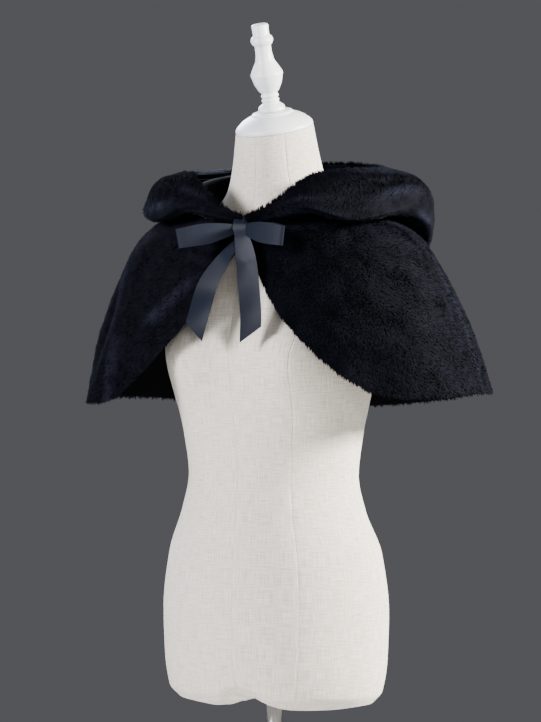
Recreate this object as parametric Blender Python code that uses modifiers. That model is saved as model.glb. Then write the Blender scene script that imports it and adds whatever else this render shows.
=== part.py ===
"""A hooded short-pile fur cape with a satin bow, standing on a linen dress form with a turned neck cap and
finial, a pole and a round foot. Metres, +Z up, the form's front along -Y, the wearer's left along +X."""

import math

import bmesh
import bpy
import numpy as np

OBJECT_NAME = "hooded_cape_on_dress_form"
GAP = 0.0003

# Stand: a plain round foot with a boss, and a straight pole.
FOOT_RADIUS = 0.165
FOOT_EDGE_HEIGHT = 0.009
FOOT_CROWN_HEIGHT = 0.016
BOSS_RADIUS = 0.022
BOSS_HEIGHT = 0.060
POLE_RADIUS = 0.011

# Dress form. One row a level: height, half width, front and back depth, tilt of the level to the front.
FORM_LEVELS = (
    # height half_width front   back   tilt_deg
    (0.7200, 0.1420, -0.0900, 0.0960, 0.0),
    (0.7350, 0.1550, -0.1020, 0.1060, 0.0),
    (0.7800, 0.1620, -0.1080, 0.1130, 0.0),
    (0.8420, 0.1640, -0.1090, 0.1140, 0.0),
    (0.9200, 0.1540, -0.1060, 0.1100, 0.0),
    (0.9800, 0.1320, -0.0980, 0.0920, 0.0),
    (1.0270, 0.1220, -0.0930, 0.0860, 0.0),
    (1.0800, 0.1280, -0.0990, 0.0920, 0.0),
    (1.1400, 0.1400, -0.1080, 0.1020, 0.0),
    (1.1960, 0.1490, -0.1120, 0.1100, 0.0),
    (1.2600, 0.1590, -0.1020, 0.1140, 0.0),
    (1.3150, 0.1700, -0.0840, 0.1080, 0.0),
    (1.3512, 0.1680, -0.0720, 0.0990, 0.0),
    (1.3672, 0.1450, -0.0660, 0.0930, 0.0),
    (1.3812, 0.1110, -0.0610, 0.0860, 1.0),
    (1.3950, 0.0840, -0.0570, 0.0800, 2.0),
    (1.4140, 0.0700, -0.0540, 0.0745, 4.0),
    (1.4500, 0.0600, -0.0530, 0.0640, 9.0),
    (1.4960, 0.0525, -0.0525, 0.0525, 12.5),
)
FORM_SIDES = 32
FORM_STEPS = 27
FORM_ROW_HEIGHTS = (
    # share height
    (0.00, 0.720),
    (0.06, 0.732),
    (0.20, 0.820),
    (0.55, 1.160),
    (0.80, 1.360),
    (0.90, 1.400),
    (1.00, 1.496),
)
# Rings of the underside: share of the lowest level's size, and drop below it.
FORM_UNDER = ((0.0, 0.0080), (0.55, 0.0080), (0.90, 0.0028))
FORM_TOP_INSETS = (0.90, 0.0)
BUST_HEIGHT = 1.192
BUST_SPREAD = 0.086
BUST_DEPTH = 0.038
BUST_WIDTH = 0.048
BUST_RISE = 0.056
ARCH_HEIGHT = 0.017
ARCH_WIDTH = 0.030

# Turned neck cap and finial, on the tilted top of the neck. Rows of radius and height above the neck.
NECK_TOP = 1.4960
NECK_TILT = 12.5
NECK_LEAN = 2.6
CAP_PROFILE = (
    # radius height
    (0.0000, 0.0250),
    (0.0185, 0.0250),
    (0.0290, 0.0225),
    (0.0410, 0.0165),
    (0.0500, 0.0085),
    (0.0530, 0.0045),
    (0.0530, 0.0000),
    (0.0000, 0.0000),
)
FINIAL_PROFILE = (
    # radius height
    (0.0000, 0.1190),
    (0.0100, 0.1190),
    (0.0116, 0.1170),
    (0.0110, 0.1040),
    (0.0142, 0.1010),
    (0.0156, 0.0970),
    (0.0142, 0.0925),
    (0.0110, 0.0890),
    (0.0112, 0.0790),
    (0.0128, 0.0690),
    (0.0172, 0.0610),
    (0.0215, 0.0530),
    (0.0222, 0.0500),
    (0.0214, 0.0472),
    (0.0190, 0.0380),
    (0.0140, 0.0280),
    (0.0101, 0.0235),
    (0.0120, 0.0205),
    (0.0122, 0.0180),
    (0.0104, 0.0155),
    (0.0118, 0.0128),
    (0.0120, 0.0110),
    (0.0150, 0.0060),
    (0.0184, 0.0020),
    (0.0184, 0.0000),
    (0.0000, 0.0000),
)

# Cape. The wall is fur cloth with its pile; it sits turned a little on the form.
CAPE_TURN = 7.0
FUR_WALL = 0.0060
LINING_WALL = 0.0012
LINING_CLEAR = 0.0010
SIDE_SEAM = 95.0
HEM_TILT = 0.010
CAPE_RINGS = (
    # along  z_front z_side  z_back  half_width y_front  y_back
    (0.00, 1.3620, 1.3925, 1.4020, 0.0950, -0.1000, 0.0980),
    (0.15, 1.3450, 1.3795, 1.3800, 0.1350, -0.1100, 0.1250),
    (0.36, 1.3120, 1.3470, 1.3350, 0.1900, -0.1240, 0.1560),
    (0.52, 1.2680, 1.2980, 1.2780, 0.2190, -0.1400, 0.1850),
    (0.76, 1.2000, 1.2130, 1.1870, 0.2510, -0.1610, 0.2280),
    (1.00, 1.1270, 1.1280, 1.0980, 0.2690, -0.1760, 0.2720),
)
# Where each front ends below: from the neck the edge sweeps out and round into the hem.
FRONT_EDGE = (
    # angle along
    (1.0, 0.12),
    (4.0, 0.28),
    (8.0, 0.42),
    (14.0, 0.57),
    (23.0, 0.74),
    (34.0, 0.89),
    (44.0, 0.970),
    (54.0, 0.995),
    (66.0, 1.00),
    (100.0, 1.00),
)
# Folds that run down the cape: angle at neck and hem, half width in degrees, height, where it starts.
FOLDS = (
    # neck_deg hem_deg half_deg height start
    (-16.0, -62.0, 9.0, 0.011, 0.20),
    (-60.0, -78.0, 8.0, 0.008, 0.35),
    (44.0, 66.0, 12.0, 0.007, 0.45),
    (110.0, 114.0, 15.0, 0.014, 0.10),
    (150.0, 152.0, 11.0, 0.010, 0.55),
    (182.0, 181.0, 11.0, 0.012, 0.50),
    (212.0, 210.0, 12.0, 0.010, 0.55),
    (242.0, 238.0, 12.0, 0.012, 0.40),
)

# Hood, laid back in a pouch round the shoulders: rings of its outer face above the fold.
HOOD_RINGS = (
    # z_front z_side z_back half_width y_front y_back front_power
    (1.3740, 1.4050, 1.2950, 0.1975, -0.1310, 0.2500, 3.0),
    (1.3770, 1.4290, 1.4000, 0.1800, -0.1260, 0.2330, 6.0),
    (1.3800, 1.4420, 1.4520, 0.1330, -0.1190, 0.1850, 8.0),
)
HOOD_TILT = 0.003
HOOD_STAND = 0.016
HOOD_FOLD_ALONG = (
    # angle along
    (0.0, 0.06),
    (30.0, 0.16),
    (60.0, 0.23),
    (95.0, 0.27),
    (125.0, 0.39),
    (150.0, 0.54),
    (172.0, 0.60),
    (180.0, 0.60),
)
HOOD_CLEAR = 0.0070
HOOD_TURN = 0.0135
HOOD_FIRST = 1.5
CENTRE_GAP = 0.09
HOOD_ACROSS = 17
HOOD_DOWN = 20
HOOD_ROLLS = (4.0, 40.0)
HOOD_OPENS = (22.0, 58.0)
HOOD_LINING_CLEAR = 0.0025
LINING_SPAN = 0.09

# Satin ribbon bow at the neck edge, in the cape's own frame. Paths run from the knot outward.
RIBBON_WALL = 0.001
KNOT_AT = (0.000, -0.1209, 1.3640)
KNOT_SIZE = (0.022, 0.016, 0.022)
LOOP_LENGTH = 0.080
LOOP_PUFF = 0.0080
LOOP_ROOT = -0.0030
LOOP_WIDTHS = ((0.0, 0.012), (0.25, 0.021), (0.6, 0.028), (1.0, 0.026))
LEFT_LOOP_WAY = (0.85, -0.50, -0.10)
RIGHT_LOOP_WAY = (-0.85, -0.50, -0.16)
TAIL_WIDTHS = ((0.0, 0.011), (0.14, 0.021), (0.4, 0.029), (1.0, 0.029))
TAIL_FACING = (0.10, -1.0, 0.05)
TAIL_CUT = 0.11
LEFT_TAIL = (
    # x y z
    (0.003, -0.1222, 1.3526),
    (0.012, -0.1360, 1.3250),
    (0.020, -0.1470, 1.2850),
    (0.024, -0.1505, 1.2500),
    (0.024, -0.1520, 1.2130),
)
RIGHT_TAIL = (
    (-0.002, -0.1195, 1.3510),
    (-0.019, -0.1360, 1.3250),
    (-0.038, -0.1480, 1.2880),
    (-0.048, -0.1510, 1.2560),
    (-0.059, -0.1520, 1.2180),
)


def smooth(rows):
    """A curve through (key, value) rows that never swings past them."""
    keys = [row[0] for row in rows]
    values = [row[1] for row in rows]
    count = len(keys)
    rise = [(values[k + 1] - values[k]) / (keys[k + 1] - keys[k]) for k in range(count - 1)]
    slope = [rise[0]]
    for k in range(1, count - 1):
        before, after = rise[k - 1], rise[k]
        slope.append(0.0 if before * after <= 0.0 else 2.0 * before * after / (before + after))
    slope.append(rise[-1])

    def at(key):
        k = 0
        while k < count - 2 and key > keys[k + 1]:
            k += 1
        width = keys[k + 1] - keys[k]
        f = min(max((key - keys[k]) / width, 0.0), 1.0)
        return (
            (2 * f**3 - 3 * f**2 + 1) * values[k]
            + (f**3 - 2 * f**2 + f) * width * slope[k]
            + (3 * f**2 - 2 * f**3) * values[k + 1]
            + (f**3 - f**2) * width * slope[k + 1]
        )

    return at


def columns(table):
    """One smooth curve a column, keyed by the first column."""
    return [smooth([(row[0], row[k]) for row in table]) for k in range(1, len(table[0]))]


def ease(low, high, value):
    f = min(max((value - low) / (high - low), 0.0), 1.0)
    return f * f * (3.0 - 2.0 * f)


def unit(vector):
    return vector / np.linalg.norm(vector)


def normal_of(surface, u, v, step=1e-4):
    """The way a surface faces at (u, v)."""
    along_u = surface(u + step, v) - surface(u - step, v)
    along_v = surface(u, v + step) - surface(u, v - step)
    return unit(np.cross(along_u, along_v))


def material(name, colour, roughness, metallic=0.0):
    made = bpy.data.materials.new(name)
    made.use_nodes = True
    shader = made.node_tree.nodes["Principled BSDF"]
    shader.inputs["Base Color"].default_value = (*colour, 1.0)
    shader.inputs["Roughness"].default_value = roughness
    shader.inputs["Metallic"].default_value = metallic
    made.diffuse_color = (*colour, 1.0)
    return made


def keep(name, shape, finish, parent=None):
    """Names a finished bmesh and puts it in the part."""
    bmesh.ops.recalc_face_normals(shape, faces=shape.faces)
    if shape.calc_volume(signed=True) < 0.0:
        bmesh.ops.reverse_faces(shape, faces=shape.faces)
    mesh = bpy.data.meshes.new(name)
    shape.to_mesh(mesh)
    shape.free()
    mesh.materials.append(finish)
    thing = bpy.data.objects.new(name, mesh)
    part.objects.link(thing)
    thing.parent = parent
    return thing


def sheet(name, front, back, across, down, finish, parent=None):
    """A cloth wall between two faces, each a function of (u, v) from 0 to 1."""
    shape = bmesh.new()
    bmesh.ops.create_grid(shape, x_segments=across, y_segments=down, size=0.5)
    near = list(shape.verts)
    place = {vert: (vert.co.x + 0.5, vert.co.y + 0.5) for vert in near}
    made = bmesh.ops.extrude_face_region(shape, geom=list(shape.faces), use_keep_orig=True)
    far = [item for item in made["geom"] if isinstance(item, bmesh.types.BMVert)]
    far_place = {vert: (vert.co.x + 0.5, vert.co.y + 0.5) for vert in far}
    for vert in near:
        vert.co = front(*place[vert])
    for vert in far:
        vert.co = back(*far_place[vert])
    return keep(name, shape, finish, parent)


def turned(name, profile, steps, finish, parent=None):
    """A turned solid: the profile at +X, top to bottom, swept round the upright axis."""
    mesh = bpy.data.meshes.new(name)
    points = [(radius, 0.0, height) for radius, height in profile]
    mesh.from_pydata(points, [(k, k + 1) for k in range(len(points) - 1)], [])
    mesh.materials.append(finish)
    thing = bpy.data.objects.new(name, mesh)
    part.objects.link(thing)
    thing.parent = parent
    sweep = thing.modifiers.new("Turn", "SCREW")
    sweep.steps = steps
    sweep.render_steps = steps
    sweep.use_merge_vertices = True
    sweep.merge_threshold = 0.00001
    return thing


# The dress form

form_half, form_front, form_back, form_tilt = columns(FORM_LEVELS)


def form_point(angle, height):
    """A point of the form's skin; angle 0 is the front, and it turns to the wearer's left."""
    middle = (form_front(height) + form_back(height)) / 2.0
    depth = (form_back(height) - form_front(height)) / 2.0
    x = form_half(height) * math.sin(angle)
    y = middle - depth * math.cos(angle)
    if math.cos(angle) > 0.0:
        for side in (-1.0, 1.0):
            away = ((x - side * BUST_SPREAD) / BUST_WIDTH) ** 2 + ((height - BUST_HEIGHT) / BUST_RISE) ** 2
            y -= BUST_DEPTH * math.exp(-away) * ease(0.0, 0.45, math.cos(angle))
    tilt = form_tilt(height)
    z = height + math.tan(math.radians(tilt)) * (y - middle)
    z += math.tan(math.radians(NECK_LEAN * tilt / NECK_TILT)) * x
    z += ARCH_HEIGHT * math.exp(-((x / ARCH_WIDTH) ** 2)) * (1.0 - ease(0.72, 0.79, height))
    return np.array((x, y, z))


def form_skin():
    """Levels from the underside's middle, up the skin, to the middle of the neck's flat top."""
    low, high = FORM_LEVELS[0][0], FORM_LEVELS[-1][0]
    shape = bmesh.new()
    heights = smooth(FORM_ROW_HEIGHTS)
    first = len(FORM_UNDER)
    last = first + FORM_STEPS
    rows = last + len(FORM_TOP_INSETS)
    bmesh.ops.create_grid(shape, x_segments=FORM_SIDES, y_segments=rows, size=0.5)
    for vert in shape.verts:
        angle = (vert.co.x + 0.5) * 2.0 * math.pi
        row = round((vert.co.y + 0.5) * rows)
        if row < first:
            size, drop = FORM_UNDER[row]
            x, y, _ = form_point(angle, low) * size
            vert.co = (x, y, low - drop + ARCH_HEIGHT * math.exp(-((x / ARCH_WIDTH) ** 2)))
        elif row > last:
            inset = FORM_TOP_INSETS[row - last - 1]
            edge = form_point(angle, high)
            vert.co = (edge[0] * inset, edge[1] * inset, high + (edge[2] - high) * inset)
        else:
            vert.co = form_point(angle, heights((row - first) / FORM_STEPS))
    bmesh.ops.remove_doubles(shape, verts=shape.verts, dist=0.00005)
    return shape


# The cape

ring_z_front, ring_z_side, ring_z_back, ring_half, ring_front, ring_back = columns(CAPE_RINGS)
edge_along = smooth(FRONT_EDGE)


def fold_height(angle, along):
    """How far the folds stand out here."""
    degrees = math.degrees(angle)
    out = 0.0
    for neck_deg, hem_deg, half_deg, height, start in FOLDS:
        middle = neck_deg + (hem_deg - neck_deg) * along
        away = (degrees - middle + 180.0) % 360.0 - 180.0
        out += height * math.exp(-((away / half_deg) ** 2)) * ease(start, 1.0, along)
    return out


def ring_point(angle, z_front, z_side, z_back, half, y_front, y_back, power=2.0):
    """A point of an upright ring with its own front, side and back height."""
    sine, cosine = math.sin(angle), math.cos(angle)
    rise = z_front - z_side if cosine > 0.0 else z_back - z_side
    z = z_side + rise * abs(cosine) ** (power if cosine > 0.0 else 2.0)
    return np.array((half * sine, (y_front + y_back) / 2.0 - (y_back - y_front) / 2.0 * cosine, z))


def cape_mean(angle, along):
    return ring_point(
        angle,
        ring_z_front(along),
        ring_z_side(along),
        ring_z_back(along),
        ring_half(along),
        ring_front(along),
        ring_back(along),
    )


def cape_inside(angle, along):
    """The lining side of the fur wall."""
    out = np.array((math.sin(angle), -math.cos(angle), 0.0))
    tilt = np.array((0.0, 0.0, HEM_TILT * math.sin(angle) * along**2))
    return cape_mean(angle, along) + out * fold_height(angle, along) + tilt


def cape_face(angle, along, lift):
    """A face a little way out from the lining side."""
    held = min(max(along, 0.001), 0.999)
    return cape_inside(angle, along) - normal_of(cape_inside, angle, held) * lift


def seam_angle(angle, along, side):
    """A seam line set back by the gap to one side."""
    run = np.linalg.norm(cape_inside(angle + 0.001, along) - cape_inside(angle, along)) / 0.001
    return angle + side * GAP / run


def front_place(side):
    """(u, v) of a front panel to its place on the cape; side 1 is the wearer's left."""

    def at(u, v):
        spread = u**1.5
        degrees = FRONT_EDGE[0][0] + (SIDE_SEAM - FRONT_EDGE[0][0]) * spread
        along = v * edge_along(degrees)
        angle = seam_angle(math.radians(SIDE_SEAM), along, -1.0) if u > 0.999 else math.radians(degrees)
        return side * angle, along

    return at


def back_place(u, v):
    """(u, v) of the back panel to its place on the cape."""
    first = seam_angle(math.radians(SIDE_SEAM), v, 1.0)
    return first + (2.0 * math.pi - 2.0 * first) * u, v


def back_lining_place(u, v):
    first = math.radians(SIDE_SEAM + 1.0)
    return first + (2.0 * math.pi - 2.0 * first) * u, 0.02 + 0.962 * v


# The hood

fold_along = smooth(HOOD_FOLD_ALONG)


def hood_section(angle):
    """Points of the fur face from the neck seam over, down the back, round the fold and up to the rim."""
    out = np.array((math.sin(angle), -math.cos(angle), 0.0))
    up = np.array((0.0, 0.0, 1.0))
    degrees = 180.0 - abs(180.0 - abs(math.degrees(angle)))
    fold = fold_along(degrees)
    start = cape_face(angle, 0.0, FUR_WALL)
    downhill = unit(cape_inside(angle, 0.004) - cape_inside(angle, 0.0))
    seam = start - downhill * GAP * 1.8
    height = 0.003 + HOOD_STAND * ease(55.0, 125.0, degrees)
    stand = seam + up * height + out * 0.001
    crest = seam + up * (height + 0.002) + out * 0.013
    under = cape_face(angle, fold * 0.60, FUR_WALL + HOOD_CLEAR * 1.3)
    bottom = cape_face(angle, fold, FUR_WALL + HOOD_CLEAR)
    away = unit(cape_face(angle, fold, FUR_WALL) - cape_face(angle, fold, 0.0))
    down = unit(cape_inside(angle, fold + 0.01) - cape_inside(angle, fold - 0.01))
    middle = bottom + away * HOOD_TURN
    low = middle + down * HOOD_TURN
    bulge, upper, rim = [ring_point(angle, *row) + up * HOOD_TILT * math.sin(angle) for row in HOOD_RINGS]
    draped = [seam, stand, crest, under, bottom, low, bulge, upper, rim]
    rolled = roll(seam, rim, out, 0.12 + 0.46 * ease(*HOOD_ROLLS, degrees), len(draped))
    share = ease(*HOOD_OPENS, degrees)
    return [a + (b - a) * share for a, b in zip(rolled, draped)]


def roll(start, end, out, swell, count):
    """Points of a round arc from start to end that swells outward by a share of its chord."""
    chord = np.linalg.norm(end - start)
    along = (end - start) / chord
    away = unit(out - along * np.dot(out, along))
    sag = swell * chord
    radius = (chord**2 / 4.0 + sag**2) / (2.0 * sag)
    half = 2.0 * math.atan(2.0 * swell)
    centre = (start + end) / 2.0 + away * (sag - radius)
    turns = [half * (2.0 * k / (count - 1) - 1.0) for k in range(count)]
    return [centre + (away * math.cos(t) + along * math.sin(t)) * radius for t in turns]


def through(points, share):
    """A smooth path through points, by their distance apart."""
    steps = [0.0]
    for a, b in zip(points, points[1:]):
        steps.append(steps[-1] + np.linalg.norm(b - a) ** 0.5)
    place = share * steps[-1]
    k = 0
    while k < len(points) - 2 and place > steps[k + 1]:
        k += 1
    before = points[k - 1] if k else 2 * points[0] - points[1]
    after = points[k + 2] if k + 2 < len(points) else 2 * points[-1] - points[-2]
    t0 = steps[k] - (np.linalg.norm(points[k] - before) ** 0.5)
    t1, t2 = steps[k], steps[k + 1]
    t3 = t2 + np.linalg.norm(after - points[k + 1]) ** 0.5
    a1 = (t1 - place) / (t1 - t0) * before + (place - t0) / (t1 - t0) * points[k]
    a2 = (t2 - place) / (t2 - t1) * points[k] + (place - t1) / (t2 - t1) * points[k + 1]
    a3 = (t3 - place) / (t3 - t2) * points[k + 1] + (place - t2) / (t3 - t2) * after
    b1 = (t2 - place) / (t2 - t0) * a1 + (place - t0) / (t2 - t0) * a2
    b2 = (t3 - place) / (t3 - t1) * a2 + (place - t1) / (t3 - t1) * a3
    return (t2 - place) / (t2 - t1) * b1 + (place - t1) / (t2 - t1) * b2


def hood_outside(angle, share):
    return through(hood_section(angle), min(max(share, 0.0), 1.0))


def hood_face(angle, share, depth):
    """A face inside the fur face of the hood."""
    held = min(max(share, 0.002), 0.998)
    return hood_outside(angle, share) - normal_of(hood_outside, angle, held, 0.0015) * depth


def hood_lining_face(angle, share, depth):
    """The lining follows the fur wall, and bridges the tight inside of the fold."""
    near = hood_face(angle, share, depth)
    bridge = ease(0.34, 0.42, share) * (1.0 - ease(0.76, 0.84, share))
    ends = hood_face(angle, share - LINING_SPAN, depth) + hood_face(angle, share + LINING_SPAN, depth)
    return near + (ends / 2.0 - near) * 0.95 * bridge


def hood_place(side, first, last, start, end):
    """(u, v) of a hood half; the halves meet in the centre seam at the back."""

    def at(u, v):
        degrees = first + (last - first) * u
        return side * math.radians(degrees), start + (end - start) * v

    return at


# The bow


def ribbon(name, path, width, facing, cut, steps, finish, parent):
    """A ribbon along a path: place and way of its width at (u, v), its wall half to each side."""

    def middle(u, v):
        share = u * (1.0 - abs(cut) * (v if cut > 0.0 else 1.0 - v))
        ahead = path(min(share + 0.01, 1.0)) - path(max(share - 0.01, 0.0))
        return path(share) + unit(np.cross(facing(share), ahead)) * width(share) * (v - 0.5)

    def face(lift):
        return lambda u, v: middle(u, v) + normal_of(middle, min(max(u, 0.01), 0.99), v, 0.004) * lift

    return sheet(name, face(RIBBON_WALL / 2.0), face(-RIBBON_WALL / 2.0), steps, 3, finish, parent)


def loop(name, way, finish, parent):
    """A loop of the bow: out from the knot, round the end and back."""
    ahead = unit(np.array(way))
    forward = unit(np.cross(ahead, np.cross((0.0, -1.0, 0.0), ahead)))
    widths = smooth(LOOP_WIDTHS)
    root = np.array(KNOT_AT) + ahead * (KNOT_SIZE[0] / 2.0 + LOOP_ROOT)

    def path(share):
        round_angle = 2.0 * math.pi * (0.06 + 0.88 * share)
        reach = (1.0 - math.cos(round_angle)) / 2.0
        return root + ahead * LOOP_LENGTH * reach + forward * LOOP_PUFF * math.sin(round_angle)

    def width(share):
        return widths((1.0 - math.cos(2.0 * math.pi * (0.06 + 0.88 * share))) / 2.0)

    upright = unit(np.cross(ahead, forward))

    def facing(share):
        ends = path(min(share + 0.01, 1.0)) - path(max(share - 0.01, 0.0))
        return np.cross(ends, upright)

    return ribbon(name, path, width, facing, 0.0, 22, finish, parent)


def tail(name, points, cut, finish, parent):
    """A tail of the bow hanging from the knot, cut on the slant."""
    places = [np.array(point) for point in points]
    return ribbon(
        name,
        lambda share: through(places, min(max(share, 0.0), 1.0)),
        smooth(TAIL_WIDTHS),
        lambda share: np.array(TAIL_FACING),
        cut,
        10,
        finish,
        parent,
    )


def knot(name, finish, parent):
    """The knot: a block rounded all over."""
    shape = bmesh.new()
    bmesh.ops.create_uvsphere(shape, u_segments=14, v_segments=8, radius=0.5)
    for vert in shape.verts:
        square = max(abs(vert.co.x), abs(vert.co.y), abs(vert.co.z)) / 0.5
        swell = 1.0 + 0.35 * (1.0 - square)
        vert.co = [c * swell * size + at for c, size, at in zip(vert.co, KNOT_SIZE, KNOT_AT)]
    return keep(name, shape, finish, parent)


def build():
    fur = material("fur_pile_black", (0.008, 0.009, 0.014), 0.85)
    lining = material("satin_lining_black", (0.010, 0.011, 0.014), 0.32)
    satin = material("satin_ribbon_charcoal", (0.030, 0.037, 0.052), 0.35)
    linen = material("linen_cream", (0.72, 0.68, 0.60), 0.9)
    paint = material("painted_wood_white", (0.78, 0.80, 0.82), 0.45)
    steel = material("brushed_steel", (0.55, 0.56, 0.58), 0.35, 1.0)

    neck = bpy.data.objects.new("neck_top", None)
    neck.location = (0.0, 0.0, NECK_TOP)
    neck.rotation_euler = (math.radians(NECK_TILT), math.radians(-NECK_LEAN), 0.0)
    turn = bpy.data.objects.new("cape_turn", None)
    turn.rotation_euler = (0.0, 0.0, math.radians(CAPE_TURN))
    for helper in (neck, turn):
        helpers.objects.link(helper)
        helper.hide_render = True
        helper.display_type = "WIRE"
        helper.empty_display_size = 0.05

    # Stand and form
    boss = FOOT_CROWN_HEIGHT + BOSS_HEIGHT
    foot = (
        (0.0, boss),
        (BOSS_RADIUS - 0.003, boss),
        (BOSS_RADIUS, boss - 0.003),
        (BOSS_RADIUS, FOOT_CROWN_HEIGHT + 0.006),
        (BOSS_RADIUS + 0.006, FOOT_CROWN_HEIGHT),
        (FOOT_RADIUS * 0.6, FOOT_CROWN_HEIGHT - 0.002),
        (FOOT_RADIUS - 0.006, FOOT_EDGE_HEIGHT),
        (FOOT_RADIUS, FOOT_EDGE_HEIGHT - 0.003),
        (FOOT_RADIUS, 0.0),
        (0.0, 0.0),
    )
    turned("stand_foot", foot, 36, steel)
    top = FORM_LEVELS[0][0] + 0.0058
    pole = (
        (0.0, top),
        (POLE_RADIUS, top),
        (POLE_RADIUS, boss + GAP),
        (0.0, boss + GAP),
    )
    turned("stand_pole", pole, 20, steel)
    keep("dress_form", form_skin(), linen)
    turned("neck_cap", [(r, h + GAP) for r, h in CAP_PROFILE], 32, paint, neck)
    dome = CAP_PROFILE[0][1] + 2.0 * GAP
    turned("finial", [(r, h + dome) for r, h in FINIAL_PROFILE], 20, paint, neck)

    # Cape panels and the back lining
    for name, side in (("cape_front_left", 1.0), ("cape_front_right", -1.0)):
        place = front_place(side)
        sheet(
            name,
            lambda u, v: cape_face(*place(u, v), FUR_WALL),
            lambda u, v: cape_face(*place(u, v), 0.0),
            13,
            9,
            fur,
            turn,
        )
    sheet(
        "cape_back",
        lambda u, v: cape_face(*back_place(u, v), FUR_WALL),
        lambda u, v: cape_face(*back_place(u, v), 0.0),
        26,
        9,
        fur,
        turn,
    )
    sheet(
        "back_lining",
        lambda u, v: cape_face(*back_lining_place(u, v), -LINING_CLEAR),
        lambda u, v: cape_face(*back_lining_place(u, v), -LINING_CLEAR - LINING_WALL),
        26,
        9,
        lining,
        turn,
    )

    # Hood halves and their linings
    for name, side in (("left", 1.0), ("right", -1.0)):
        place = hood_place(side, HOOD_FIRST, 180.0 - CENTRE_GAP, 0.0, 1.0)
        sheet(
            "hood_" + name,
            lambda u, v: hood_face(*place(u, v), 0.0),
            lambda u, v: hood_face(*place(u, v), FUR_WALL),
            HOOD_ACROSS,
            HOOD_DOWN,
            fur,
            turn,
        )
        step = (180.0 - CENTRE_GAP - HOOD_FIRST) / HOOD_ACROSS
        inset = 1.0 / HOOD_DOWN
        within = hood_place(side, HOOD_FIRST + step, 180.0 - CENTRE_GAP, inset, 1.0 - inset)
        sheet(
            "hood_lining_" + name,
            lambda u, v: hood_lining_face(*within(u, v), FUR_WALL + HOOD_LINING_CLEAR),
            lambda u, v: hood_lining_face(*within(u, v), FUR_WALL + HOOD_LINING_CLEAR + LINING_WALL),
            HOOD_ACROSS - 1,
            HOOD_DOWN - 2,
            lining,
            turn,
        )

    # Bow
    knot("bow_knot", satin, turn)
    loop("bow_loop_left", LEFT_LOOP_WAY, satin, turn)
    loop("bow_loop_right", RIGHT_LOOP_WAY, satin, turn)
    tail("bow_tail_left", LEFT_TAIL, TAIL_CUT, satin, turn)
    tail("bow_tail_right", RIGHT_TAIL, -TAIL_CUT, satin, turn)


for old in list(bpy.data.objects):
    bpy.data.objects.remove(old, do_unlink=True)
part = bpy.data.collections.new(OBJECT_NAME)
helpers = bpy.data.collections.new("helpers")
for group in (part, helpers):
    bpy.context.scene.collection.children.link(group)
build()
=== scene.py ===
"""The looks of a short hooded plush cape with a satin bow, shown on a linen covered dress form.
Metres, +Z up. The form's front is along -Y and the wearer's left along +X.
Angles run from the front to the wearer's left."""

import math

import bpy
import numpy as np
from mathutils import Euler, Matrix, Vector


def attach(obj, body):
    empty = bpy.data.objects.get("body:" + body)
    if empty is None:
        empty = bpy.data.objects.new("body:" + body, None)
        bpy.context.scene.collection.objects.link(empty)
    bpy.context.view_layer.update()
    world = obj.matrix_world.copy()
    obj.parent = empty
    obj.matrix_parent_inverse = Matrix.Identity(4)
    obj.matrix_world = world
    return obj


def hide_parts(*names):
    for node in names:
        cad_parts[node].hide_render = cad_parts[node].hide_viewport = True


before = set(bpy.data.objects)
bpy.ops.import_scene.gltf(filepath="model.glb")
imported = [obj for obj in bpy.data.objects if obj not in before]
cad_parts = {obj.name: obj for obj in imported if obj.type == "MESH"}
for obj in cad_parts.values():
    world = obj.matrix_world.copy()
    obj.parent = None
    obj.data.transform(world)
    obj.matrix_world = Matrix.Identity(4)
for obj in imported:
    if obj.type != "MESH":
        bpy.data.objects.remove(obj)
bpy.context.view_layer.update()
dice = np.random.default_rng(2611)

MM = 0.001

# Dress form: levels of the torso, and its sewn seams as lines of angle over height.
FORM_LEVELS = (
    # height half_width front   back   tilt_deg
    (0.7200, 0.1420, -0.0900, 0.0960, 0.0),
    (0.7350, 0.1550, -0.1020, 0.1060, 0.0),
    (0.7800, 0.1620, -0.1080, 0.1130, 0.0),
    (0.8420, 0.1640, -0.1090, 0.1140, 0.0),
    (0.9200, 0.1540, -0.1060, 0.1100, 0.0),
    (0.9800, 0.1320, -0.0980, 0.0920, 0.0),
    (1.0270, 0.1220, -0.0930, 0.0860, 0.0),
    (1.0800, 0.1280, -0.0990, 0.0920, 0.0),
    (1.1400, 0.1400, -0.1080, 0.1020, 0.0),
    (1.1960, 0.1490, -0.1120, 0.1100, 0.0),
    (1.2600, 0.1590, -0.1020, 0.1140, 0.0),
    (1.3150, 0.1700, -0.0840, 0.1080, 0.0),
    (1.3512, 0.1680, -0.0720, 0.0990, 0.0),
    (1.3672, 0.1450, -0.0660, 0.0930, 0.0),
    (1.3812, 0.1110, -0.0610, 0.0860, 1.0),
    (1.3950, 0.0840, -0.0570, 0.0800, 2.0),
    (1.4140, 0.0700, -0.0540, 0.0745, 4.0),
    (1.4500, 0.0600, -0.0530, 0.0640, 9.0),
    (1.4960, 0.0525, -0.0525, 0.0525, 12.5),
)
FORM_ROW_HEIGHTS = (
    # share height
    (0.00, 0.720),
    (0.06, 0.732),
    (0.20, 0.820),
    (0.55, 1.160),
    (0.80, 1.360),
    (0.90, 1.400),
    (1.00, 1.496),
)
FORM_UNDER = ((0.0, 0.0080), (0.30, 0.0080), (0.60, 0.0078), (0.80, 0.0058), (0.92, 0.0026))
FORM_TOP_INSETS = (0.97, 0.5, 0.0)
FORM_ROWS = 150
FORM_RADIUS = 0.15
BUST_HEIGHT = 1.192
BUST_SPREAD = 0.086
BUST_DEPTH = 0.038
BUST_WIDTH = 0.048
BUST_RISE = 0.056
ARCH_HEIGHT = 0.017
ARCH_WIDTH = 0.030
SEAM_GROOVE = ((-3.4, 0.0), (-1.5, 0.15), (-0.55, 0.45), (0.0, 1.0), (0.55, 0.45), (1.5, 0.15), (3.4, 0.0))
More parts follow.
